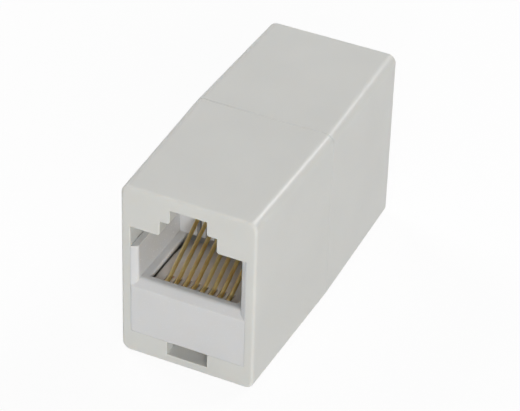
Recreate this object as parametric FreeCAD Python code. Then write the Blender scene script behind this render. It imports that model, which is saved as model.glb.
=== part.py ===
import FreeCAD, Part
import math
import os

# Inline coupler for two eight-way modular plugs, all sizes in millimetres.
# Origin: middle of the underside.  X across, Y along the cable run, Z up.
# The front end is at -Y.  The rear half is the front half turned half a
# turn about Z, so only the front half is described below.

# ---- outer housing -------------------------------------------------------
length = 35.6              # end face to end face
side_wall = 1.01           # at the end face; the draft makes it thicker at the seam
roof_thickness = 1.5       # at the end face
floor_thickness = 1.1
end_wall = 1.5
side_draft = 0.4           # how far each side stands out further at the seam
roof_draft = 0.1           # how far the roof stands higher at the seam
corner_radius = 1.0        # the four long corners
rim_radius = 0.35          # edge round each end face
mouth_edge = 0.04          # edge round each opening
seam_gap = 0.006           # hairline between the two shells
seam_edge = 0.09           # rounding of both outer edges at the seam
lip_length = 1.2           # locating lip that laps the other shell
lip_thickness = 0.5
fit = 0.05                 # clearance between parts pushed together
panel_fit = 0.01           # closer fit of the frame where it shows in the end walls
panel_foot_fit = 0.025     # the same under the panel
root = 0.3                 # how far a rib is let into the wall it stands on

# ---- plug opening --------------------------------------------------------
plug_width = 11.74         # clear width between the side walls
plug_height = 6.75         # clear height over the sill
plug_depth = 9.85          # end face to comb plate
latch_step_width = 6.5     # wide part of the latch keyway
latch_step_rise = 1.8      # its height over the plug opening
latch_notch_width = 4.2    # narrow part of the latch keyway
latch_notch_rise = 1.7     # its height over the wide part
keyway_radius = 0.3        # on the keyway's inward corners
side_key_depth = 2.5       # how far the side keyway drops from the plug roof
jamb_bevel = 0.7           # bevel at each side of the mouth, measured on the end face
jamb_bevel_depth = 0.4     # the same bevel, measured along the plug
sill_bevel = 0.85          # bevel under the mouth, measured on the end face
sill_bevel_depth = 0.7     # the same bevel, measured along the plug
jamb_bevel_radius = 0.4    # rounding of the jamb bevels' inner edges
sill_bevel_radius = 0.6    # rounding of the sill bevel's inner edge

# ---- inner frame ---------------------------------------------------------
frame_wall = 0.74          # side walls
frame_play = 0.08          # frame to the shells' side walls
panel_height = 6.85        # flush panel below each opening
panel_thickness = 1.4
rail_width = 0.87
rail_thickness = 0.45
rail_edge = 0.15           # rounding of the rails' inner top edges
rail_tail_length = 2.2     # the rails' undersides rise towards the comb
rail_tail_rise = 0.15
rail_gap = 0.35            # contact block to the rails above it
comb_thickness = 0.8
comb_slot_width = 0.55
comb_slot_clearance = 0.2  # over the contact wire at the rear of the comb
web_thickness = 1.25       # cross web between the two jacks
web_rise = 0.7             # web underside over the wire runs
partition_thickness = 1.2  # wall between the two jacks
chamber_roof = 0.8         # thickness of the roof over the chamber behind the comb
catch_width = 4.4          # snap catch under each panel
catch_slot_height = 1.7    # opening under the panel, where the catch shows
catch_slot_clearance = 0.15
catch_floor_gap = 0.2      # catch to the shell floor
catch_setback = 1.0        # end wall to the catch
catch_length = 1.1
catch_bevel = 0.5          # slope under the catch's rear corner
catch_arm = 0.8            # thickness of the arm that carries it
catch_bar_length = 1.0     # bar on the shell floor behind the catch
catch_bar_gap = 0.5        # bar to the frame above it
bearer_width = 0.9         # floor ribs that carry the frame
guide_width = 0.87         # roof ribs that keep the plug down
lug_depth = 0.5            # lugs that hold the wire cover
lug_height = 0.6
lug_length = 2.0
lug_inset = 3.3            # lug centres to the end of the run of lugs
lug_run = 16.8             # how far the run of lugs reaches from the middle

# ---- contacts ------------------------------------------------------------
contact_count = 8
contact_pitch = 1.016
wire_diameter = 0.45
wire_play = 0.025          # wire to the floor and roof of its channel
spring_angle = 27.1        # slope of the sprung length
knuckle_back = 3.05        # end face to the knuckle
knuckle_drop = 0.75        # knuckle below the sill, centre of the wire
toe_angle = 9.0            # slope between knuckle and nose
nose_back = 2.05           # end face to the wire down the nose
knuckle_radius = 0.45
nose_radius = 0.45
tip_overhang = 0.45        # free end behind the comb plate

# ---- contact blocks and wire cover --------------------------------------
block_depth = 2.85
block_tail_drop = 0.6      # the rear of the block top slopes down this much
block_tail_length = 3.6
shoulder_drop = 2.4        # under the rails the block is this much lower
shoulder_start = 0.6       # length of its full-width front
channel_width = 0.72
cover_thickness = 1.35
cover_end_gap = 0.2

# ---- worked out ----------------------------------------------------------
half = length / 2
plug_half = plug_width / 2
frame_half = plug_half + frame_wall
hollow_half = frame_half + frame_play
end_width = 2 * (hollow_half + side_wall)
frame_floor = floor_thickness + catch_slot_height
plug_floor = frame_floor + panel_height
plug_roof = plug_floor + plug_height
frame_top = plug_roof - fit
step_top = plug_roof + latch_step_rise
hollow_roof = step_top + latch_notch_rise
end_height = hollow_roof + roof_thickness
end_wall_rear = -half + end_wall
panel_rear = -half + panel_thickness
comb_front = -half + plug_depth
comb_rear = comb_front + comb_thickness
rail_inner = plug_half - rail_width
rail_floor = plug_floor - rail_thickness
block_top = rail_floor - rail_gap
block_floor = block_top - block_depth
cover_top = block_floor - fit
cover_floor = cover_top - cover_thickness
wire_radius = wire_diameter / 2
wire_room = wire_radius + wire_play
run_height = block_floor + wire_radius
web_floor = run_height + web_rise
knuckle_place = -half + knuckle_back
knuckle_height = plug_floor - knuckle_drop
nose_place = -half + nose_back
nose_top = knuckle_height - (knuckle_back - nose_back) * math.tan(math.radians(toe_angle))
spring_rise = math.tan(math.radians(spring_angle))
contact_places = [(i - (contact_count - 1) / 2) * contact_pitch for i in range(contact_count)]


def vec(x, y, z):
    return FreeCAD.Vector(x, y, z)


def block(x0, x1, y0, y1, z0, z1):
    """A box between two corners."""
    return Part.makeBox(x1 - x0, y1 - y0, z1 - z0, vec(x0, y0, z0))


def both_sides(x0, x1, y0, y1, z0, z1):
    """The same box on +X and on -X."""
    return [block(x0, x1, y0, y1, z0, z1), block(-x1, -x0, y0, y1, z0, z1)]


def turned(shape):
    """The shape turned half a turn about the vertical axis."""
    copy = shape.copy()
    copy.rotate(vec(0, 0, 0), vec(0, 0, 1), 180)
    return copy


def joined(shapes):
    return shapes[0].fuse(shapes[1:]).removeSplitter()


def rounded_edges(points, radii, closed=False):
    """Straight runs through the points, with a tangent arc at each corner.

    radii holds one value for each corner; 0 leaves the corner sharp.
    """
    count = len(points)
    corners = range(count) if closed else range(1, count - 1)
    entry = list(points)
    leave = list(points)
    arcs = {}
    for place, radius in zip(corners, radii):
        if radius == 0:
            continue
        here = points[place]
        before = (points[place - 1] - here).normalize()
        after = (points[(place + 1) % count] - here).normalize()
        half_angle = before.getAngle(after) / 2
        entry[place] = here + before * (radius / math.tan(half_angle))
        leave[place] = here + after * (radius / math.tan(half_angle))
        bisector = (before + after).normalize()
        middle = here + bisector * (radius / math.sin(half_angle) - radius)
        arcs[place] = Part.Arc(entry[place], middle, leave[place]).toShape()
    edges = []
    for place in range(count if closed else count - 1):
        following = (place + 1) % count
        edges.append(Part.makeLine(leave[place], entry[following]))
        if following in arcs:
            edges.append(arcs[following])
    return edges


def prism(points, radii, sweep):
    """A closed outline with rounded corners, extruded along sweep."""
    outline = Part.Wire(Part.sortEdges(rounded_edges(points, radii, closed=True))[0])
    return Part.Face(outline).extrude(sweep)


def sharp_prism(points, sweep):
    return prism(points, [0] * len(points), sweep)


def tapered_box(near, far):
    """Flat-sided solid between two rectangles across Y.

    Each rectangle is (y, half width, lowest z, highest z).
    """
    def corners(y, half_width, low, high):
        return [vec(-half_width, y, low), vec(half_width, y, low),
                vec(half_width, y, high), vec(-half_width, y, high)]

    a, b = corners(*near), corners(*far)
    rings = [a, b] + [[a[i], a[i - 1], b[i - 1], b[i]] for i in range(4)]
    faces = [Part.Face(Part.makePolygon(ring + ring[:1])) for ring in rings]
    return Part.makeSolid(Part.makeShell(faces))


# ---- shells --------------------------------------------------------------
def shell_blank():
    """Drafted block with rounded long corners, end rim and seam edges."""
    blank = tapered_box((-half, end_width / 2, 0, end_height),
                        (0, end_width / 2 + side_draft, 0, end_height + roof_draft))
    long_edges = [e for e in blank.Edges if abs(e.Vertexes[0].Y - e.Vertexes[1].Y) > half / 2]
    blank = blank.makeFillet(corner_radius, long_edges)
    rim = [e for e in blank.Edges if e.BoundBox.YMax < -half + fit]
    blank = blank.makeFillet(rim_radius, rim)
    blank = blank.cut(block(-end_width, end_width, -seam_gap / 2, half, -1, end_height * 2))
    seam_rim = [e for e in blank.Edges if e.BoundBox.YMin > -seam_gap]
    return blank.makeFillet(seam_edge, seam_rim)


def mouth_cutter():
    """Through opening of an end wall: frame recess with the latch keyway."""
    recess = frame_half + panel_fit
    step = latch_step_width / 2
    notch = latch_notch_width / 2
    right = [(notch, hollow_roof, 0), (notch, step_top, keyway_radius), (step, step_top, 0),
             (step, plug_roof, keyway_radius), (recess, plug_roof, 0),
             (recess, frame_floor - panel_foot_fit, 0)]
    left = [(-x, z, radius) for x, z, radius in reversed(right)]
    outline = right + left
    points = [vec(x, -half - 1, z) for x, z, radius in outline]
    return prism(points, [radius for x, z, radius in outline], vec(0, end_wall + 2, 0))


def hollow_block(y0, y1):
    return block(-hollow_half, hollow_half, y0, y1, floor_thickness, hollow_roof)


def shell_lip():
    """Lip on the +X half of the seam, inside the other shell's rebate."""
    lip = block(fit, hollow_half + lip_thickness, -2 * lip_length, lip_length,
                floor_thickness - lip_thickness, hollow_roof + lip_thickness)
    return lip.cut(hollow_block(-3 * lip_length, 2 * lip_length))


def rebate_cutter():
    reach = lip_thickness + fit
    return block(-hollow_half - reach, fit, -lip_length - 2 * fit, fit,
                 floor_thickness - reach, hollow_roof + reach)


def opening_edges(shell):
    """Edges round the opening, on the end face."""
    end_face = next(f for f in shell.Faces if f.BoundBox.YMax < -half + fit)
    inner_loops = [w for w in end_face.Wires if not w.isSame(end_face.OuterWire)]
    return [edge for loop in inner_loops for edge in loop.Edges]


def front_shell():
    shell = shell_blank().cut(hollow_block(end_wall_rear, 1))
    shell = shell.cut(mouth_cutter())
    slot_half = catch_width / 2 + catch_slot_clearance
    catch_slot = block(-slot_half, slot_half, -half - 1, end_wall_rear + 1, floor_thickness, frame_floor)
    shell = shell.cut(catch_slot).cut(rebate_cutter())
    shell = shell.makeFillet(mouth_edge, opening_edges(shell))
    bar_front = end_wall_rear + catch_setback + catch_length + fit
    catch_bar = block(-slot_half, slot_half, bar_front, bar_front + catch_bar_length,
                      floor_thickness - root, frame_floor - catch_bar_gap)
    bearers = both_sides(frame_half - bearer_width, frame_half, end_wall_rear - root,
                         -2 * lip_length, floor_thickness - root, frame_floor - fit)
    guides = both_sides(plug_half - guide_width, plug_half, end_wall_rear - root,
                        comb_front - fit, plug_roof, hollow_roof + root)
    return joined([shell, shell_lip(), catch_bar] + bearers + guides)


# ---- contact wire --------------------------------------------------------
def spring_height(y):
    """Centre height of the sprung length at a place along Y."""
    return knuckle_height + (y - knuckle_place) * spring_rise


def spring_place(z):
    """Place along Y where the sprung length is at a centre height."""
    return knuckle_place + (z - knuckle_height) / spring_rise


def wire_path(x):
    """Corners of one wire's centre line, from the front tip to the rear tip."""
    tip = comb_rear + tip_overhang
    front = [vec(x, tip, spring_height(tip)), vec(x, knuckle_place, knuckle_height),
             vec(x, nose_place, nose_top), vec(x, nose_place, run_height)]
    rear = [vec(x, -corner.y, corner.z) for corner in reversed(front)]
    return front + rear


def contact_wire(x):
    bends = [knuckle_radius, nose_radius, nose_radius]
    path = Part.Wire(rounded_edges(wire_path(x), bends + bends[::-1]))
    first = path.OrderedEdges[0]
    heading = first.tangentAt(first.FirstParameter)
    section = Part.Wire(Part.makeCircle(wire_radius, path.OrderedVertexes[0].Point, heading))
    return path.makePipeShell([section], True, False)


# ---- inner frame ---------------------------------------------------------
def comb_plate():
    """Cross plate that ends the plug cavity and guides the free wire tips."""
    plate = block(-plug_half - fit, plug_half + fit, comb_front, comb_rear, plug_floor, frame_top - fit)
    slot_top = spring_height(comb_rear) + wire_radius + comb_slot_clearance
    slot_half = comb_slot_width / 2
    slots = [block(x - slot_half, x + slot_half, comb_front - 1, comb_rear + 1,
                   plug_floor - 1, slot_top) for x in contact_places]
    return plate.cut(slots)


def lead_in_cutter():
    """Bevels round the mouth, open at the top: shallow on the jambs, deeper on the sill."""
    outside = -half - jamb_bevel_depth
    jamb_end = -half + jamb_bevel_depth
    sill_end = -half + sill_bevel_depth
    spread = plug_half + 2 * jamb_bevel
    base = plug_floor - 2 * sill_bevel
    plan = [vec(-spread, outside, base), vec(-plug_half, jamb_end, base), vec(-plug_half, sill_end, base),
            vec(plug_half, sill_end, base), vec(plug_half, jamb_end, base), vec(spread, outside, base)]
    side = [vec(-spread, -half - sill_bevel_depth, base), vec(-spread, sill_end, plug_floor),
            vec(-spread, sill_end, hollow_roof), vec(-spread, -half - sill_bevel_depth, hollow_roof)]
    between_jambs = sharp_prism(plan, vec(0, 0, hollow_roof - base))
    return between_jambs.common(sharp_prism(side, vec(2 * spread, 0, 0)))


def lead_in_edges(frame, depth):
    """Long edges where the bevels end, this far behind the end face."""
    return [e for e in frame.Edges if e.Length > 2 * sill_bevel
            and abs(e.BoundBox.YMin + half - depth) < panel_fit
            and abs(e.BoundBox.YMax + half - depth) < panel_fit]


def snap_catch():
    """Hook on an arm behind the panel; the bar on the shell floor closes on it."""
    arm_root = panel_rear - root
    front = end_wall_rear + catch_setback
    rear = front + catch_length
    tip = floor_thickness + catch_floor_gap
    arm_top = frame_floor + catch_arm
    side = -catch_width / 2
    outline = [vec(side, arm_root, frame_floor), vec(side, front, frame_floor), vec(side, front, tip),
               vec(side, rear - catch_bevel, tip), vec(side, rear, tip + catch_bevel),
               vec(side, rear, arm_top), vec(side, arm_root, arm_top)]
    return sharp_prism(outline, vec(catch_width, 0, 0))


def rail_tail_cutter():
    """Wedge that thins both rails towards the comb."""
    start = comb_front - rail_tail_length
    side = -plug_half
    outline = [vec(side, start, rail_floor), vec(side, comb_rear, rail_floor + rail_tail_rise),
               vec(side, comb_rear, rail_floor - 1), vec(side, start, rail_floor - 1)]
    return sharp_prism(outline, vec(plug_width, 0, 0))


def rails():
    """Ledges along both side walls, level with the sill."""
    shapes = []
    for inner, outer in ((-rail_inner, -plug_half), (rail_inner, plug_half)):
        outline = [vec(inner, panel_rear, rail_floor), vec(inner, panel_rear, plug_floor),
                   vec(outer, panel_rear, plug_floor), vec(outer, panel_rear, rail_floor)]
        rail = prism(outline, [0, rail_edge, 0, 0], vec(0, comb_rear - panel_rear, 0))
        shapes.append(rail.cut(rail_tail_cutter()))
    return shapes


def cover_lugs():
    """Lugs on the side walls that the wire cover rests on."""
    shapes = []
    for centre in (lug_inset, lug_run - lug_inset):
        shapes += both_sides(plug_half - lug_depth, plug_half, -centre - lug_length / 2,
                             -centre + lug_length / 2, cover_floor - fit - lug_height, cover_floor - fit)
    return shapes


def half_frame():
    """Everything of the frame on the -Y side of the middle."""
    key_top = plug_roof - side_key_depth
    pieces = [
        block(-frame_half, -plug_half, -half, comb_front, frame_floor, key_top),
        block(-frame_half, -plug_half, comb_front, 0, frame_floor, frame_top),
        block(plug_half, frame_half, -half, 0, frame_floor, frame_top),
        block(-frame_half, frame_half, -half, panel_rear, frame_floor, plug_floor),
        block(-plug_half, plug_half, comb_rear + fit, 0, web_floor, web_floor + web_thickness),
        block(-plug_half, plug_half, -partition_thickness / 2, 0, web_floor, hollow_roof - fit),
        block(-plug_half, plug_half, comb_front, 0, frame_top - chamber_roof, frame_top),
        comb_plate(),
        snap_catch(),
    ]
    frame = joined(pieces + rails() + cover_lugs()).cut(lead_in_cutter()).removeSplitter()
    frame = frame.makeFillet(jamb_bevel_radius, lead_in_edges(frame, jamb_bevel_depth))
    return frame.makeFillet(sill_bevel_radius, lead_in_edges(frame, sill_bevel_depth))


def inner_frame():
    front = half_frame()
    return joined([front, turned(front)])


# ---- contact block and wire cover ----------------------------------------
def wire_channel(x):
    """Room for one wire: top slot, nose slot and underside groove in one outline."""
    side = x - channel_width / 2
    nose = nose_place + wire_room
    slot_end = spring_place(block_top + wire_room / math.cos(math.radians(spring_angle)))
    slot_floor = nose_top - wire_room - fit
    groove_roof = run_height + wire_room
    inner_radius = nose_radius - wire_room
    beyond = comb_rear + 1
    outline = [vec(side, slot_end, block_top + 1), vec(side, slot_end, slot_floor),
               vec(side, nose, slot_floor), vec(side, nose, groove_roof),
               vec(side, beyond, groove_roof), vec(side, beyond, block_floor - 1),
               vec(side, -half, block_floor - 1), vec(side, -half, block_top + 1)]
    return prism(outline, [0, 0, inner_radius, inner_radius, 0, 0, 0, 0], vec(channel_width, 0, 0))


def front_contact_block():
    """Seat of the wires: slots down its nose and grooves along its underside."""
    front = panel_rear + 2 * fit
    rear = comb_rear - fit
    side = -plug_half + fit
    outline = [vec(side, front, block_floor), vec(side, front, block_top),
               vec(side, rear - block_tail_length, block_top),
               vec(side, rear, block_top - block_tail_drop), vec(side, rear, block_floor)]
    blank = sharp_prism(outline, vec(-2 * side, 0, 0))
    shoulders = both_sides(rail_inner, plug_half, front + shoulder_start, rear + 1,
                           block_top - shoulder_drop, block_top + 1)
    return blank.cut(shoulders + [wire_channel(x) for x in contact_places])


def wire_cover():
    """Plate that closes the underside grooves."""
    end = -panel_rear - cover_end_gap
    return block(-plug_half + fit, plug_half - fit, -end, end, cover_floor, cover_top)


# ---- write the pieces ----------------------------------------------------
def pieces():
    shell = front_shell()
    contacts = front_contact_block()
    named = {
        "front_shell": shell,
        "rear_shell": turned(shell),
        "inner_frame": inner_frame(),
        "front_contact_block": contacts,
        "rear_contact_block": turned(contacts),
        "wire_cover": wire_cover(),
    }
    for number, x in enumerate(contact_places, start=1):
        named[f"contact_wire_{number}"] = contact_wire(x)
    return named


os.makedirs("parts", exist_ok=True)
for name, shape in pieces().items():
    shape.exportStep(f"parts/{name}.step")
    print(f"{name}: {len(shape.Solids)} solid, {shape.Volume:.2f} mm3, valid {shape.isValid()}")
print(f"overall {end_width + 2 * side_draft:.2f} x {length:.2f} x {end_height + roof_draft:.2f} mm")
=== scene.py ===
# %% [markdown]
# This part is a small white coupler that joins two eight-way modular plugs
# end to end.  Two moulded half shells meet at a hairline seam, a moulded
# frame inside them forms the two plug openings, and eight gold-plated
# wires run from one opening to the other.  Every shape has a real size, so
# the solids come from the CAD model, and Blender's work here is finish,
# camera and light.

# %% Open the model
import math

import bpy
from mathutils import Matrix, Vector


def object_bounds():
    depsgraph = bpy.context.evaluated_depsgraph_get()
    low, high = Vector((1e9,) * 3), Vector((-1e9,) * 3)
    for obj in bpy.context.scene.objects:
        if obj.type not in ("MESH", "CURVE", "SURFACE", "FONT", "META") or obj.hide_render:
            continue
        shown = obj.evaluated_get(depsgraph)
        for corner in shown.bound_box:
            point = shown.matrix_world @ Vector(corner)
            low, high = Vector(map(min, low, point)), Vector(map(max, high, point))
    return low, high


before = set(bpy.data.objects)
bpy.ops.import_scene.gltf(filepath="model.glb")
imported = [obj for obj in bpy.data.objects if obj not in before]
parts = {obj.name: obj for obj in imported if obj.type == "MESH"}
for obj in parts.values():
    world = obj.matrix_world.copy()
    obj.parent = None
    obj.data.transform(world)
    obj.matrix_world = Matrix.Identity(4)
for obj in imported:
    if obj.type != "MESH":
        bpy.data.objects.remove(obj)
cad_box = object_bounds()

MM = 0.001
scene = bpy.context.scene
wires = sorted(name for name in parts if name.startswith("contact_wire"))
overall = [round((high - low) / MM, 2) for low, high in zip(*cad_box)]
print(f"{len(parts)} parts, {len(wires)} of them wires; overall {overall} mm")

# %% [markdown]
# A finish is a small graph of nodes.  Colours are written as sRGB hex, as
# on a colour card, but the shader works in linear light, so one function
# converts them.  A second function adds a node, sets its values and makes
# its links in one line, which keeps each finish short enough to read.

# %% Colour and node helpers
def linear(hex_colour):
    """sRGB hex, such as "C8C8C4", to linear red, green, blue and alpha."""
    channels = [int(hex_colour[i:i + 2], 16) / 255 for i in (0, 2, 4)]
    return [c / 12.92 if c <= 0.04045 else ((c + 0.055) / 1.055) ** 2.4
            for c in channels] + [1.0]


def add(tree, kind, values=None, links=None, **settings):
    """Adds a node; values fill its sockets and links feed them."""
    node = tree.nodes.new("ShaderNode" + kind)
    for name, value in settings.items():
        setattr(node, name, value)
    for socket, value in (values or {}).items():
        node.inputs[socket].default_value = value
    for socket, source in (links or {}).items():
        tree.links.new(source, node.inputs[socket])
    return node


def two_tones(tree, pattern, low_tone, high_tone, edges):
    """Ramp from one tone to another as a pattern rises between two values."""
    ramp = add(tree, "ValToRGB", links={"Fac": pattern})
    for stop, tone, edge in zip(ramp.color_ramp.elements, (low_tone, high_tone), edges):
        stop.position = edge
        stop.color = linear(tone)
    return ramp


def new_finish(name):
    """An empty material and its node tree."""
    material = bpy.data.materials.new(name)
    material.use_nodes = True
    material.node_tree.nodes.clear()
    return material, material.node_tree


def per_metre(millimetres):
    """Texture scale that repeats about once in this many millimetres."""
    return 1 / (millimetres * MM)


print("mid grey, linear:", [round(c, 3) for c in linear("808080")[:3]])

# %% [markdown]
# The shells, the frame, the wire cover and the blocks that carry the wires
# are moulded ABS, a hard white plastic.  The mould leaves a satin gloss: a
# very fine grain from the polished steel, and broad, shallow waves where
# the plastic shrank over thick and thin places.  The grain is about 0.03 mm
# on a real part and would vanish here, so it is drawn at 0.2 mm.  Corners
# that the model keeps sharp are rounded through the Bevel node, because a
# moulded edge always catches a little light.  Light also sinks about a
# third of a millimetre into white plastic and comes out beside where it
# went in, which softens the shadows at edges and seams; red goes a little
# further than blue.

# %% Moulded ABS
GRAIN = 0.2          # mm, drawn coarser than the real 0.03
GRAIN_HEIGHT = 0.002  # mm
WAVES = 5.0          # mm across a sink wave
WAVE_HEIGHT = 0.012  # mm
CLOUDS = 9.0         # mm across a patch of slightly different tone
CLOUD_EDGES = (0.35, 0.65)  # noise values where the two tones are pure
GRAIN_GLOSS = 0.04   # roughness that the grain adds or takes away
ABS_IOR = 1.54
SCATTER = 0.3        # mm that light travels under the surface
SCATTER_RGB = (1.0, 0.9, 0.8)


def moulded_abs(name, tone, other_tone, roughness, edge):
    """Opaque plastic from a polished mould, with an edge radius in mm."""
    material, tree = new_finish(name)
    place = add(tree, "TexCoord").outputs["Object"]
    clouds = add(tree, "TexNoise", {"Scale": per_metre(CLOUDS), "Detail": 2.0},
                 {"Vector": place})
    colour = two_tones(tree, clouds.outputs["Fac"], tone, other_tone, CLOUD_EDGES)
    grain = add(tree, "TexNoise", {"Scale": per_metre(GRAIN), "Detail": 3.0},
                {"Vector": place})
    gloss = add(tree, "MapRange",
                {"To Min": roughness - GRAIN_GLOSS, "To Max": roughness + GRAIN_GLOSS},
                {"Value": grain.outputs["Fac"]})
    waves = add(tree, "TexNoise", {"Scale": per_metre(WAVES), "Detail": 1.0},
                {"Vector": place})
    rounded = add(tree, "Bevel", {"Radius": edge * MM}, samples=6)
    sunk = add(tree, "Bump", {"Strength": 0.6, "Distance": WAVE_HEIGHT * MM},
               {"Height": waves.outputs["Fac"], "Normal": rounded.outputs["Normal"]})
    grained = add(tree, "Bump", {"Strength": 0.35, "Distance": GRAIN_HEIGHT * MM},
                  {"Height": grain.outputs["Fac"], "Normal": sunk.outputs["Normal"]})
    plastic = add(tree, "BsdfPrincipled",
                  {"IOR": ABS_IOR, "Subsurface Weight": 1.0,
                   "Subsurface Scale": SCATTER * MM, "Subsurface Radius": SCATTER_RGB},
                  {"Base Color": colour.outputs["Color"],
                   "Roughness": gloss.outputs["Result"],
                   "Normal": grained.outputs["Normal"]})
    add(tree, "OutputMaterial", links={"Surface": plastic.outputs["BSDF"]})
    return material


shell_finish = moulded_abs("White ABS, satin moulded", "D8D8D4", "D5D5D1", 0.34, 0.05)
frame_finish = moulded_abs("White ABS, gloss moulded", "D9D9D9", "D6D6D6", 0.26, 0.08)
block_finish = moulded_abs("White ABS, matt moulded", "EAE3DE", "E5DED8", 0.5, 0.06)
for finish in (shell_finish, frame_finish, block_finish):
    print(finish.name, len(finish.node_tree.nodes), "nodes")

# %% [markdown]
# The contact wires are phosphor bronze with a thin gold plate over nickel.
# Metal takes its colour from what it reflects, so the base colour is that
# of gold itself and the surroundings do the rest.  Drawing the wire
# through a die leaves fine lines along it, which spread the highlight, and
# the plate is a little duller in patches.

# %% Gold-plated wire
DRAW_LINES = 0.06    # mm between drawing lines
LINE_DEPTH = 0.002   # mm
LINE_SCALE = (1, 0.05, 1)   # the lines are twenty times as long as wide
PLATE_PATCHES = 1.5  # mm across a patch of duller plate
PATCH_EDGES = (0.3, 0.6)    # noise values where each tone is pure
PATCH_GLOSS = (-0.05, 0.08)  # change of roughness as the noise rises


def gold_plate(name, tone, dull_tone, roughness):
    """Thin gold plate on a drawn wire that runs along Y."""
    material, tree = new_finish(name)
    place = add(tree, "TexCoord").outputs["Object"]
    patches = add(tree, "TexNoise", {"Scale": per_metre(PLATE_PATCHES), "Detail": 2.0},
                  {"Vector": place})
    colour = two_tones(tree, patches.outputs["Fac"], dull_tone, tone, PATCH_EDGES)
    along = add(tree, "Mapping", {"Scale": LINE_SCALE}, {"Vector": place})
    lines = add(tree, "TexNoise", {"Scale": per_metre(DRAW_LINES), "Detail": 1.0},
                {"Vector": along.outputs["Vector"]})
    drawn = add(tree, "Bump", {"Strength": 0.15, "Distance": LINE_DEPTH * MM},
                {"Height": lines.outputs["Fac"]})
    gloss = add(tree, "MapRange",
                {"To Min": roughness + PATCH_GLOSS[0], "To Max": roughness + PATCH_GLOSS[1]},
                {"Value": patches.outputs["Fac"]})
    plate = add(tree, "BsdfPrincipled", {"Metallic": 1.0},
                {"Base Color": colour.outputs["Color"],
                 "Roughness": gloss.outputs["Result"],
                 "Normal": drawn.outputs["Normal"]})
    add(tree, "OutputMaterial", links={"Surface": plate.outputs["BSDF"]})
    return material


gold_finish = gold_plate("Gold plate on drawn bronze", "FFE8A6", "F4D088", 0.32)
print(gold_finish.name, len(gold_finish.node_tree.nodes), "nodes")

# %% [markdown]
# A CAD part already has a material slot, filled with a flat stand-in from
# the model.  Dressing a part is one assignment to that slot; the mesh
# isn't touched.

# %% Dress the parts
finishes = {"front_shell": shell_finish, "rear_shell": shell_finish,
            "inner_frame": frame_finish, "wire_cover": block_finish,
            "front_contact_block": block_finish, "rear_contact_block": block_finish}
finishes.update({name: gold_finish for name in wires})
for name, finish in finishes.items():
    parts[name].data.materials.clear()
    parts[name].data.materials.append(finish)
print("undressed:", sorted(set(parts) - set(finishes)))

# %% [markdown]
# The coupler stands on a plain pale floor.  The camera should see the
# floor as clean white with only a soft shadow under the part, while the
# light that the floor throws back stays natural.  The Light Path node
# tells the two apart: rays that go to the eye, or to the eye by way of a
# reflection, get mostly white, and all other rays get plain pale card.

# %% Floor
import bmesh

FLOOR_REACH = 0.6        # m
FLOOR_DROP = 0.05 * MM   # keeps the floor clear of the underside
FLOOR_SIDES = 96
CARD_FIBRES = 3.0        # mm across a cloud of fibres
SHADOW_SHARE = 0.08      # how much of the seen floor takes shadow


def seen_rays(tree):
    """1 where the camera looks directly, in a reflection or through glass."""
    path = add(tree, "LightPath")
    direct = add(tree, "Math", operation="MAXIMUM",
                 links={0: path.outputs["Is Camera Ray"],
                        1: path.outputs["Is Glossy Ray"]})
    return add(tree, "Math", operation="MAXIMUM",
               links={0: direct.outputs[0],
                      1: path.outputs["Is Transmission Ray"]}).outputs[0]


card, tree = new_finish("Pale card")
place = add(tree, "TexCoord").outputs["Object"]
fibres = add(tree, "TexNoise", {"Scale": per_metre(CARD_FIBRES), "Detail": 2.0},
             {"Vector": place})
pale = two_tones(tree, fibres.outputs["Fac"], "D2D2D0", "D6D6D4", (0.0, 1.0))
matt = add(tree, "BsdfDiffuse", links={"Color": pale.outputs["Color"]})
white = add(tree, "Emission", {"Strength": 1.0})
shaded = add(tree, "BsdfDiffuse", {"Color": (1, 1, 1, 1)})
shown = add(tree, "MixShader", {"Fac": SHADOW_SHARE},
            {1: white.outputs[0], 2: shaded.outputs[0]})
either = add(tree, "MixShader", links={"Fac": seen_rays(tree), 1: matt.outputs[0],
                                       2: shown.outputs[0]})
add(tree, "OutputMaterial", links={"Surface": either.outputs[0]})

floor_shape = bmesh.new()
bmesh.ops.create_circle(floor_shape, cap_ends=True, radius=FLOOR_REACH,
                        segments=FLOOR_SIDES)
bmesh.ops.translate(floor_shape, verts=floor_shape.verts, vec=(0, 0, -FLOOR_DROP))
floor_mesh = bpy.data.meshes.new("floor")
floor_shape.to_mesh(floor_mesh)
floor_shape.free()
floor = bpy.data.objects.new("floor", floor_mesh)
scene.collection.objects.link(floor)
floor_mesh.materials.append(card)
print("floor radius", FLOOR_REACH, "m")

# %% [markdown]
# A small glossy white object is easiest to read in a light tent: even
# light from all round, and a few large soft lamps that put a gentle
# highlight on the rounded edges.  A lamp is set here by where it stands
# and how bright its face is, so its power follows from its size.  Two lamps
# stand low, where they light the inside of the opening.  Their faces are
# left out of mirror reflections: seen from behind at a shallow angle they
# would burn the top white.

# %% World and lamps
TENT = 0.03          # light of the tent on the part; 1 is white
LAMP_DISTANCE = 0.5  # m
LAMP_SIDE = 0.2      # m
world = bpy.data.worlds.new("Light tent")
scene.world = world
world.use_nodes = True
tree = world.node_tree
tree.nodes.clear()
inside = add(tree, "Background", {"Color": (1, 1, 1, 1), "Strength": TENT})
outside = add(tree, "Background", {"Color": (1, 1, 1, 1), "Strength": 1.0})
either = add(tree, "MixShader", links={"Fac": seen_rays(tree), 1: inside.outputs[0],
                                       2: outside.outputs[0]})
add(tree, "OutputWorld", links={"Surface": either.outputs[0]})


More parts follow.
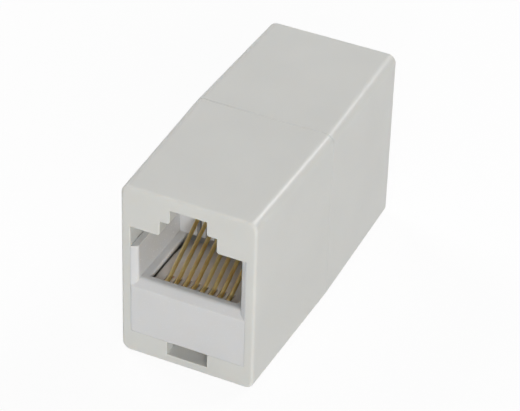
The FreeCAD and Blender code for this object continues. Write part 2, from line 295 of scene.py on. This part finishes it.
def turned_to(azimuth, elevation):
    """Rotation that looks at the part; azimuth 0 stands in front of it."""
    return (Matrix.Rotation(math.radians(azimuth), 4, "Z")
            @ Matrix.Rotation(math.radians(90 - elevation), 4, "X"))


def softbox(name, azimuth, elevation, brightness, mirrored=True):
    """Square lamp facing the part, with the brightness of its face."""
    lamp = bpy.data.lights.new(name, "AREA")
    lamp.shape = "SQUARE"
    lamp.size = LAMP_SIDE
    lamp.energy = brightness * math.pi * LAMP_SIDE ** 2
    stand = bpy.data.objects.new(name, lamp)
    stand.visible_glossy = mirrored
    scene.collection.objects.link(stand)
    facing = turned_to(azimuth, elevation)
    stand.matrix_world = Matrix.Translation(facing @ Vector((0, 0, LAMP_DISTANCE))) @ facing


softbox("front lamp", 25, 15, 9.2, mirrored=False)
softbox("side lamp", 45, 22, 4.9, mirrored=False)
softbox("key lamp", 20, 38, 1.4)
softbox("top lamp", 30, 85, 1.5)
softbox("rear lamp", 150, 45, 7.0)
softbox("left lamp", -110, 40, 7.0)

# %% [markdown]
# The camera looks down over the front right corner from about a quarter of
# a metre with a long lens, as for a product picture of something this
# small.  A long lens keeps the far end nearly as large as the near end.

# %% Camera
CAMERA_AZIMUTH = 24.388    # degrees
CAMERA_ELEVATION = 36.067
CAMERA_ROLL = 1.847
CAMERA_DISTANCE = 263.35 * MM
AIM = Vector((-0.179, 0, 9.741)) * MM
FOCAL_LENGTH = 168.11    # mm
SENSOR_WIDTH = 36.0      # mm
NEAREST = 0.01           # m, nearer things aren't drawn

lens = bpy.data.cameras.new("camera")
lens.lens = FOCAL_LENGTH
lens.sensor_width = SENSOR_WIDTH
lens.clip_start = NEAREST
camera = bpy.data.objects.new("camera", lens)
scene.collection.objects.link(camera)
scene.camera = camera
facing = turned_to(CAMERA_AZIMUTH, CAMERA_ELEVATION)
camera.matrix_world = (Matrix.Translation(AIM + facing @ Vector((0, 0, CAMERA_DISTANCE)))
                       @ facing @ Matrix.Rotation(math.radians(CAMERA_ROLL), 4, "Z"))
scene.view_settings.view_transform = "Standard"
print("camera stands at", [round(v / MM, 1) for v in camera.matrix_world.translation], "mm")
